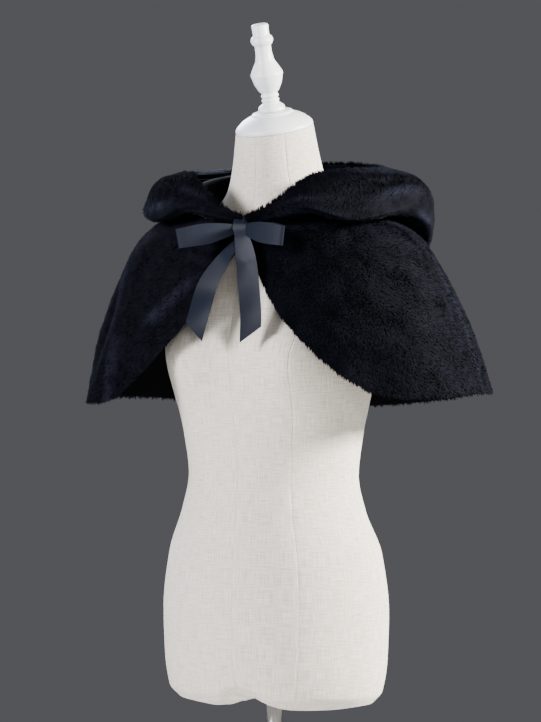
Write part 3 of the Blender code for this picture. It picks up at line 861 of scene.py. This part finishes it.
def painted_wood(name):
    """Turned beech under white eggshell paint: even, half matt, with faint brush lines round the turning."""
    made, tree, shader = surface_of(
        name, roughness=0.42, specular_ior_level=0.5, coat_weight=0.10, coat_roughness=0.35
    )
    place = node(tree, "ShaderNodeTexCoord")
    scale = (1.0 / (18.0 * MM), 1.0 / (18.0 * MM), 1.0 / (1.2 * MM))
    lines = drawn_out(tree, place.outputs["Object"], scale, 3.0)
    coloured(tree, shader, lines, "#e2e4e6", "#f2f3f4")
    raised(tree, shader, lines, 0.10, 0.15 * MM)
    return made


def brushed_steel(name):
    """Brushed stainless steel: grey metal with fine upright scratches that stretch its highlights."""
    made, tree, shader = surface_of(name, metallic=1.0, roughness=0.34)
    place = node(tree, "ShaderNodeTexCoord")
    scale = (1.0 / (0.8 * MM), 1.0 / (0.8 * MM), 1.0 / (40.0 * MM))
    scratch = drawn_out(tree, place.outputs["Object"], scale, 4.0)
    coloured(tree, shader, scratch, "#8d8f92", "#babcbf")
    grip = node(tree, "ShaderNodeMapRange", {"Value": scratch}, {"To Min": 0.26, "To Max": 0.44})
    tree.links.new(grip.outputs["Result"], shader.inputs["Roughness"])
    return made


def pale_floor(name):
    """Painted studio floor: pale, matt, very slightly uneven."""
    made, tree, shader = surface_of(name, roughness=0.8, specular_ior_level=0.3)
    place = node(tree, "ShaderNodeTexCoord")
    cloudy = node(tree, "ShaderNodeTexNoise", {"Vector": place.outputs["Object"]}, {"Scale": 3.0})
    coloured(tree, shader, cloudy.outputs["Fac"], "#c9c9c8", "#d2d2d1")
    return made


plush = sheared_plush("sheared_acrylic_plush")
ground = plush_ground("plush_knitted_ground")
lining_satin = acetate_satin("acetate_satin_black")
ribbon_satin = satin_ribbon("polyester_satin_ribbon")
linen = linen_cover("cream_linen")
white_paint = painted_wood("eggshell_painted_beech")
steel = brushed_steel("brushed_stainless_steel")


# The dress form and its stand


def seam_angles(height):
    """Each seam's angle at a height, in degrees, with the first again a full turn on."""
    lines = [smooth(list(zip(SEAM_HEIGHTS, row))) for row in FORM_SEAMS]
    angles = [line(height) for line in lines]
    return angles + [angles[0] + 360.0]


def form_columns():
    """Places round the form: (panel, share across it, millimetres from a seam, depth of the groove)."""
    out = []
    for panel in range(len(FORM_SEAMS)):
        out += [(panel, 0.0, off, sink) for off, sink in SEAM_GROOVE if off >= 0.0]
        out += [(panel, (k + 1) / (PANEL_COLUMNS + 1), 0.0, 0.0) for k in range(PANEL_COLUMNS)]
        out += [(panel, 1.0, off, sink) for off, sink in SEAM_GROOVE if off < 0.0]
    return out + [(len(FORM_SEAMS) - 1, 1.0, 0.0, 1.0)]


def build_form():
    """The linen cover: columns of points closed up at the seams, rows from the underside to the neck's top."""
    low, high = FORM_LEVELS[0][0], FORM_LEVELS[-1][0]
    round_places = form_columns()
    across = len(round_places) - 1
    first = len(FORM_UNDER)
    last = first + FORM_ROWS
    rows = last + len(FORM_TOP_INSETS)
    deselect()
    bpy.ops.mesh.primitive_grid_add(x_subdivisions=across, y_subdivisions=rows, size=1.0)
    piece = bpy.context.object
    mesh = piece.data
    grid = points_of(mesh)
    column = np.round((grid[:, 0] + 0.5) * across).astype(int)
    row = np.round((grid[:, 1] + 0.5) * rows).astype(int)
    share = np.clip((row - first) / FORM_ROWS, 0.0, 1.0)
    height = np.where(row < first, low, np.where(row > last, high, smooth(FORM_ROW_HEIGHTS)(share)))
    seams = np.stack(seam_angles(height))
    panel, part, off, sink = np.array(round_places)[column].T
    start = np.take_along_axis(seams, panel.astype(int)[None], 0)[0]
    end = np.take_along_axis(seams, panel.astype(int)[None] + 1, 0)[0]
    around = np.radians(start + (end - start) * part)
    pace = np.linalg.norm(form_point(around + 0.01, height) - form_point(around - 0.01, height), axis=-1) / 0.02
    angle = around + off * MM / pace
    at = form_point(angle, height)
    inward = outward(angle) * (SEAM_DEPTH * sink * ease(low, low + 0.02, height))[:, None]
    at = at - inward
    for index, (size, drop) in enumerate(FORM_UNDER):
        under = row == index
        at[under, :2] *= size
        at[under, 2] = low - drop + ARCH_HEIGHT * np.exp(-((at[under, 0] / ARCH_WIDTH) ** 2))
    for index, inset in enumerate(FORM_TOP_INSETS):
        over = row == last + 1 + index
        at[over] = at[over] * (inset, inset, 1.0)
        at[over, 2] = high + (at[over, 2] - high) * inset
    mesh.vertices.foreach_set("co", at.ravel())
    lay_chart(mesh, np.stack([angle * FORM_RADIUS, height], -1))
    bpy.ops.object.mode_set(mode="EDIT")
    bpy.ops.mesh.select_all(action="SELECT")
    bpy.ops.mesh.remove_doubles(threshold=0.00002)
    bpy.ops.mesh.normals_make_consistent(inside=False)
    bpy.ops.object.mode_set(mode="OBJECT")
    smooth_shade(piece, 60.0)
    return finish_piece(piece, "form_cover", linen, ["dress_form"])


build_form()
turned(
    "neck_cap_turning",
    rounded([(r, h + SEAT_GAP) for r, h in CAP_PROFILE], 1.2 * MM),
    on_neck,
    72,
    white_paint,
    ["neck_cap"],
)
cap_top = CAP_PROFILE[0][1] + 2.0 * SEAT_GAP
turned(
    "finial_turning",
    rounded([(r, h + cap_top) for r, h in FINIAL_PROFILE], 0.8 * MM),
    on_neck,
    64,
    white_paint,
    ["finial"],
)
foot_profile = (
    (0.0, BOSS_TOP),
    (BOSS_RADIUS - 0.003, BOSS_TOP),
    (BOSS_RADIUS, BOSS_TOP - 0.003),
    (BOSS_RADIUS, 0.026),
    (BOSS_RADIUS + 0.002, 0.020),
    (BOSS_RADIUS + 0.006, 0.016),
    (FOOT_RADIUS * 0.6, 0.014),
    (FOOT_RADIUS - 0.010, 0.0098),
    (FOOT_RADIUS - 0.003, 0.0078),
    (FOOT_RADIUS, 0.0045),
    (FOOT_RADIUS, 0.001),
    (FOOT_RADIUS - 0.001, 0.0),
    (0.0, 0.0),
)
turned("foot_plate", rounded(foot_profile, 1.0 * MM), lambda p: p, 96, steel, ["stand_foot"])
pole_profile = (
    (0.0, POLE_TOP),
    (POLE_RADIUS, POLE_TOP),
    (POLE_RADIUS, 0.40),
    (POLE_RADIUS, BOSS_TOP + SEAT_GAP),
    (0.0, BOSS_TOP + SEAT_GAP),
)
turned("pole_tube", rounded(pole_profile, 0.8 * MM), lambda p: p, 48, steel, ["stand_pole"])


# The cape


def front_place(side):
    """(u, v) of a front panel to its angle and place along; the free edge stops short by the length of the pile."""

    def at(u, v):
        degrees = FRONT_EDGE[0][0] + (SIDE_SEAM - 0.07 - FRONT_EDGE[0][0]) * np.clip(u, 0.0, 1.0) ** 1.5
        return side * np.radians(degrees), v * (edge_along(degrees) - EDGE_INSET)

    return at


def back_place(u, v):
    first = math.radians(SIDE_SEAM + 0.07)
    return first + (2.0 * math.pi - 2.0 * first) * u, v * (1.0 - HEM_INSET)


def back_lining_place(u, v):
    first = math.radians(SIDE_SEAM + 1.0)
    return first + (2.0 * math.pi - 2.0 * first) * u, 0.02 + 0.962 * v


def hood_place(side, first, inset):
    """(u, v) of a hood half to its angle and share from the neck seam to the rim."""

    def at(u, v):
        degrees = first + (180.0 - CENTRE_GAP - first) * u
        return side * np.radians(degrees), inset + (1.0 - 2.0 * inset) * v

    return at


def drift(places, sizes, strength):
    """A soft uneven field over places, from a few waves of each size, the same on every run."""
    out = np.zeros(len(places))
    for size in sizes:
        for _ in range(5):
            way = unit(dice.normal(size=3))
            out += np.sin(places @ way * (2.0 * math.pi / size) + dice.uniform(0.0, 2.0 * math.pi))
    return out * strength / math.sqrt(5.0 * len(sizes))


def pile(name, face, side, count, thick, weight, painted_light, free_start, slot):
    """Strands of pile on a face: closed three sided spikes that lean with the nap in tufts, joined in one mesh.
    At the far edge, and at the near one where it is free, they turn out and round it."""
    across, down = PILE_GRID
    grid_u, grid_v = np.meshgrid(np.linspace(0.0, 1.0, across), np.linspace(0.0, 1.0, down), indexing="ij")
    spots = face(grid_u.ravel(), grid_v.ravel()).reshape(across, down, 3)
    along_u = np.gradient(spots, axis=0)
    along_v = np.gradient(spots, axis=1)
    square = np.cross(along_u, along_v)
    to_end = (1.0 - grid_v) * (down - 1) * np.linalg.norm(along_v, axis=-1)
    to_start = grid_u * (across - 1) * np.linalg.norm(along_u, axis=-1) + (0.0 if free_start else 1.0)
    near_edge = np.clip(1.0 - np.stack([to_end, to_start], -1) / EDGE_REACH, 0.0, 1.0)
    much = weight(grid_u, grid_v) * (1.0 + EDGE_THICKER * near_edge.max(-1))
    chance = (np.linalg.norm(square, axis=-1) * much)[:-1, :-1].ravel()
    cell = dice.choice(len(chance), size=count, p=chance / chance.sum())
    i, j = np.divmod(cell, down - 1)
    f, g = dice.uniform(size=(2, count))

    def between(rows):
        low = rows[i, j] * (1.0 - f)[:, None] + rows[i + 1, j] * f[:, None]
        high = rows[i, j + 1] * (1.0 - f)[:, None] + rows[i + 1, j + 1] * f[:, None]
        return low * (1.0 - g)[:, None] + high * g[:, None]

    root = between(spots)
    out = unit(between(square)) * side
    nap = unit(between(along_v))
    beside = np.cross(out, nap)
    lie = np.stack([drift(root, (0.055, 0.021), 1.0), drift(root, (0.043, 0.017), 1.0)], -1)
    clump = np.floor(root / TUFT).astype(int) @ np.array((733, 379, 911)) % 4096
    tuft = dice.normal(size=(4096, 4))[clump]
    loose = dice.normal(size=(count, 3))
    lean = PILE_LEAN * (1.0 + 0.35 * lie[:, 0]) + 0.08 * tuft[:, 0] + 0.08 * loose[:, 0]
    sway = 0.35 * lie[:, 1] + 0.09 * tuft[:, 1] + 0.12 * loose[:, 1]
    way = unit(out + nap * lean[:, None] + beside * sway[:, None])
    swing = between(near_edge) * dice.uniform(0.2, 1.9, (count, 2))
    for turn, edge in zip(swing.T, (nap, -unit(between(along_u)))):
        way = unit(way * np.cos(turn)[:, None] + edge * np.sin(turn)[:, None])
    length = PILE_LENGTH * dice.uniform(0.84, 1.0, count) * (1.0 + 0.10 * np.clip(tuft[:, 2], -2.0, 1.0))
    length = length * (1.0 + EDGE_LONGER * between(near_edge).max(-1))
    tip = root + way * length[:, None]
    spin = dice.uniform(0.0, 2.0 * math.pi, count)
    wide = thick * dice.uniform(0.8, 1.2, count)
    one = unit(np.cross(way, nap + 0.01))
    two = np.cross(way, one)
    ring = []
    for k in range(3):
        turn = (spin + k * 2.0 * math.pi / 3.0)[:, None]
        ring.append(one * np.cos(turn) + two * np.sin(turn))
    verts = np.stack([root + ring[k] * wide[:, None] - out * ROOT_SINK for k in range(3)] + [tip], 1)
    first = np.arange(count)[:, None, None] * 4
    faces = first + np.array([[[0, 1, 3], [1, 2, 3], [2, 0, 3], [0, 2, 1]]])
    mesh = bpy.data.meshes.new(name)
    mesh.from_pydata(verts.reshape(-1, 3), [], faces.reshape(-1, 3))
    u, v = (i + f) / (across - 1), (j + g) / (down - 1)
    # Tone: random drift and tufts, plus painted highlight along the creases and, on the hood, painted shade all
    # over.
    painted_light_share = painted_light(u, v) * np.clip(0.75 + 0.4 * lie[:, 1], 0.15, 1.4)
    tone = PILE_TONE + 0.03 * lie[:, 0] + 0.015 * (tuft[:, 3] + loose[:, 2]) + PAINTED_LIGHT_TONE * painted_light_share
    tones = np.clip(tone, 0.0, 1.0)[:, None] * np.array([[1.0, 1.0, 1.0, TIP_TONE]])
    mesh.attributes.new("tone", "FLOAT", "POINT").data.foreach_set("value", tones.ravel())
    soft = [unit(out + ring[k] * 0.28) for k in range(3)] + [unit(out + way * 0.35)]
    mesh.polygons.foreach_set("use_smooth", np.ones(len(mesh.polygons), bool))
    mesh.normals_split_custom_set_from_vertices(np.stack(soft, 1).reshape(-1, 3))
    piece = bpy.data.objects.new(name, mesh)
    bpy.context.scene.collection.objects.link(piece)
    return finish_piece(piece, name, plush, [])


def fur_panel(name, face, side, node_name, steps, size, strands, cover, painted_light, free_start):
    """A panel of plush: its knitted ground as a shell, and its pile. side says which way its grid faces."""
    shell = cloth(
        name, lambda u, v: face(u, v, BACKING / 2.0), *steps, BACKING, size, ground, "fur_pile_black", [node_name]
    )
    fur = pile(
        name + "_pile", lambda u, v: face(u, v, BACKING), side, *strands, cover, painted_light, free_start, "fur_pile_black"
    )
    return shell


def cape_panel_face(place):
    return lambda u, v, lift: with_cape(cape_face(*place(u, v), lift))


def hood_panel_face(place):
    """The hood's ground runs down at its neck seam to meet the ground of the cape."""

    def at(u, v, lift):
        angle, share = place(u, v)
        on = hood_face(angle, share, PILE_TOP - lift)
        return with_cape(on + (neck_seam(angle, lift) - on) * (1.0 - ease(0.006, 0.07, share))[..., None])

    return at


def cape_painted_light(place):
    """Where the creases stand out, from 0 to 1: there the pile gets a painted highlight, a paler tone."""
    return lambda u, v: ease(0.2 * MM, 5.0 * MM, crease_height(*place(u, v)))


def hood_painted_light(place):
    """As on the cape, a painted highlight along the creases. The whole hood also gets painted shade, so its pile
    reads darker than the cape's.
    """
    return lambda u, v: np.clip(hood_crease(*place(u, v)) / (2.6 * MM), 0.0, 1.0) - HOOD_PAINTED_SHADE


def under_hood(place):
    """Less pile where the hood lies on the cape and hides it."""

    def at(u, v):
        angle, along = place(u, v)
        return 0.12 + 0.88 * ease(-0.10, 0.04, along - fold_along(from_front(angle)))

    return at


for word, side in (("left", 1.0), ("right", -1.0)):
    place = front_place(side)
    fur_panel(
        "front_" + word,
        cape_panel_face(place),
        -side,
        "cape_front_" + word,
        steps=(64, 50),
        size=(0.33, 0.30),
        strands=FRONT_PILE,
        cover=under_hood(place),
        painted_light=cape_painted_light(place),
        free_start=True,
    )
fur_panel(
    "back_panel",
    cape_panel_face(back_place),
    -1.0,
    "cape_back",
    steps=(120, 56),
    size=(0.66, 0.31),
    strands=BACK_PILE,
    cover=under_hood(back_place),
    painted_light=cape_painted_light(back_place),
    free_start=False,
)


def hood_cover(u, v):
    """Pile is thick from the fold to the rim and at the neck's crest, and thin on the hidden underside."""
    return 0.10 + 0.90 * np.maximum(ease(0.44, 0.52, v), 1.0 - ease(0.10, 0.24, v))


for word, side in (("left", 1.0), ("right", -1.0)):
    place = hood_place(side, HOOD_FIRST, 0.006)
    fur_panel(
        "hood_half_" + word,
        hood_panel_face(place),
        side,
        "hood_" + word,
        steps=(90, 76),
        size=(0.40, 0.30),
        strands=HOOD_PILE,
        cover=hood_cover,
        painted_light=hood_painted_light(place),
        free_start=True,
    )


# The linings


def lining_wrinkles(u, v):
    """Soft drag lines in loose satin, in metres."""
    slow = np.sin(u * 31.0 + 2.2 * np.sin(v * 5.0 + 1.0)) * np.sin(v * 4.0 + u * 9.0)
    quick = np.sin(u * 67.0 + 3.1 * v + 2.0 * np.sin(v * 9.0)) * np.sin(v * 7.0 + 2.0)
    return (0.7 * slow + 0.35 * quick) * MM * 0.5


cloth(
    "back_lining_satin",
    lambda u, v: with_cape(cape_face(*back_lining_place(u, v), -BACK_LINING_CLEAR - LINING / 2.0)),
    100,
    40,
    LINING,
    (0.66, 0.31),
    lining_satin,
    "satin_lining_black",
    ["back_lining"],
)
for word, side in (("left", 1.0), ("right", -1.0)):
    place = hood_place(side, HOOD_LINING_START, HOOD_LINING_INSET)

    def satin_face(u, v, place=place):
        angle, share = place(u, v)
        wave = lining_wrinkles(u, v) * ease(0.0, 0.1, v) * (1.0 - ease(0.94, 1.0, v))
        wave = wave * (1.0 + 2.2 * np.exp(-(((np.degrees(angle) - 58.0) / 16.0) ** 2)) * ease(0.6, 0.8, v))
        depth = PILE_TOP + HOOD_LINING_CLEAR + LINING / 2.0
        near = hood_lining_face(angle, share, depth)
        deeper = hood_lining_face(angle, share, depth + MM)
        return with_cape(near + (deeper - near) * (np.abs(wave) / MM)[..., None])

    cloth(
        "hood_lining_satin_" + word,
        satin_face,
        84,
        60,
        LINING,
        (0.40, 0.30),
        lining_satin,
        "satin_lining_black",
        ["hood_lining_" + word],
    )


# The bow


def ribbon_surface(path, width, facing, cut, cup):
    """A ribbon along a path; its edges cup a little."""

    def at(u, v):
        share = u * (1.0 - abs(cut) * (v if cut > 0.0 else 1.0 - v))
        ahead = path(np.clip(share + 0.01, 0.0, 1.0)) - path(np.clip(share - 0.01, 0.0, 1.0))
        look = facing(share)
        over = unit(np.cross(look, ahead))
        bow = cup * (4.0 * (v - 0.5) ** 2 - 0.33 + np.sin(share * 13.0 + 2.0 * v)) * ease(0.2, 0.45, share)
        return path(share) + over * (width(share) * (v - 0.5))[..., None] + unit(look) * bow[..., None]

    return at


def loop_surface(way):
    ahead = unit(np.array(way))
    forward = unit(np.cross(ahead, np.cross((0.0, -1.0, 0.0), ahead)))
    upright = unit(np.cross(ahead, forward))
    widths = smooth(LOOP_WIDTHS)
    root = np.array(KNOT_AT) + ahead * (KNOT_SIZE[0] / 2.0 + LOOP_ROOT)

    def round_angle(share):
        return 2.0 * math.pi * (0.06 + 0.88 * share)

    def path(share):
        reach = (1.0 - np.cos(round_angle(share))) / 2.0
        puff = np.sin(round_angle(share))
        return root + ahead * (LOOP_LENGTH * reach)[..., None] + forward * (LOOP_PUFF * puff)[..., None]

    def width(share):
        return widths((1.0 - np.cos(round_angle(share))) / 2.0)

    def facing(share):
        ends = path(np.clip(share + 0.01, 0.0, 1.0)) - path(np.clip(share - 0.01, 0.0, 1.0))
        return np.cross(ends, np.broadcast_to(upright, ends.shape))

    return ribbon_surface(path, width, facing, 0.0, 0.0)


def tail_surface(points, widths, cut):
    places = np.array(points)[:, None, :]

    def path(share):
        spread = np.broadcast_to(places, (len(points), len(share), 3))
        return through(spread, np.clip(share, 0.0, 1.0))

    def facing(share):
        return np.broadcast_to(np.array(TAIL_FACING), (len(share), 3))

    return ribbon_surface(path, smooth(widths), facing, cut, 0.7 * MM)


for word, way in (("left", LEFT_LOOP_WAY), ("right", RIGHT_LOOP_WAY)):
    surface = loop_surface(way)
    cloth(
        "ribbon_loop_" + word,
        lambda u, v: with_cape(surface(u, v)),
        90,
        12,
        RIBBON,
        (0.165, 0.028),
        ribbon_satin,
        "satin_ribbon_charcoal",
        ["bow_loop_" + word],
    )
for word, points, widths, cut, length in (
    ("left", LEFT_TAIL, LEFT_TAIL_WIDTHS, TAIL_CUT, 0.180),
    ("right", RIGHT_TAIL, RIGHT_TAIL_WIDTHS, -TAIL_CUT, 0.150),
):
    surface = tail_surface(points, widths, cut)
    cloth(
        "ribbon_tail_" + word,
        lambda u, v: with_cape(surface(u, v)),
        70,
        12,
        RIBBON,
        (length, 0.029),
        ribbon_satin,
        "satin_ribbon_charcoal",
        ["bow_tail_" + word],
    )


def build_knot():
    """The knot: a rounded block with the gathers of the ribbon running over it."""
    deselect()
    bpy.ops.mesh.primitive_uv_sphere_add(segments=48, ring_count=32, radius=0.5)
    piece = bpy.context.object
    mesh = piece.data
    at = points_of(mesh)
    square = np.max(np.abs(at), 1, keepdims=True) / 0.5
    gather = np.sin(at[:, :1] * 34.0 + 3.0 * at[:, 2:]) * np.clip(1.0 - 4.0 * at[:, :1] ** 2, 0.0, 1.0)
    at = at * (1.0 + 0.35 * (1.0 - square) + 0.035 * gather)
    mesh.vertices.foreach_set("co", with_cape(at * np.array(KNOT_SIZE) + np.array(KNOT_AT)).ravel())
    mesh.update()
    smooth_shade(piece, 70.0)
    return finish_piece(piece, "ribbon_knot", ribbon_satin, ["bow_knot"])


build_knot()


# Floor, light and camera

deselect()
bpy.ops.mesh.primitive_plane_add(size=7.0)
floor = bpy.context.object
floor.name = "floor"
floor.data.materials.append(pale_floor("pale_studio_floor"))

view_right = Vector((math.cos(VIEW_TURN), math.sin(VIEW_TURN), 0.0))
view_near = Vector((math.sin(VIEW_TURN), -math.cos(VIEW_TURN), 0.0))


def lamp(name, right, near, up, aim_up, size, power, colour):
    """A soft square light placed from where the camera stands: to its right, towards it and up."""
    place = view_right * right + view_near * near + Vector((0.0, 0.0, up))
    light = bpy.data.lights.new(name, "AREA")
    light.size = size
    light.energy = power
    light.color = paint(colour)[:3]
    thing = bpy.data.objects.new(name, light)
    thing.location = place
    thing.rotation_euler = (Vector((0.0, 0.0, aim_up)) - place).to_track_quat("-Z", "Y").to_euler()
    bpy.context.scene.collection.objects.link(thing)


for row in LAMPS:
    lamp(*row)

world = bpy.data.worlds.new("studio_air")
world.use_nodes = True
world.node_tree.nodes["Background"].inputs["Color"].default_value = paint("#85858a")
world.node_tree.nodes["Background"].inputs["Strength"].default_value = 0.45
bpy.context.scene.world = world
bpy.context.scene.view_settings.look = "AgX - Medium High Contrast"

camera_data = bpy.data.cameras.new("camera")
camera = bpy.data.objects.new("camera", camera_data)
bpy.context.scene.collection.objects.link(camera)
camera.location = view_near * VIEW_AWAY + Vector((0.0, 0.0, VIEW_HEIGHT))
look = Vector((0.0, 0.0, AIM_HEIGHT)) - camera.location
camera.rotation_euler = look.to_track_quat("-Z", "Y").to_euler()
camera_data.sensor_width = SENSOR
camera_data.lens = look.length / METRES_A_PIXEL * SENSOR / IMAGE_HEIGHT
camera_data.shift_x = (IMAGE_WIDTH / 2.0 - POLE_COLUMN) / IMAGE_HEIGHT
camera_data.clip_end = 50.0
bpy.context.scene.camera = camera

deselect()
bpy.context.view_layer.update()
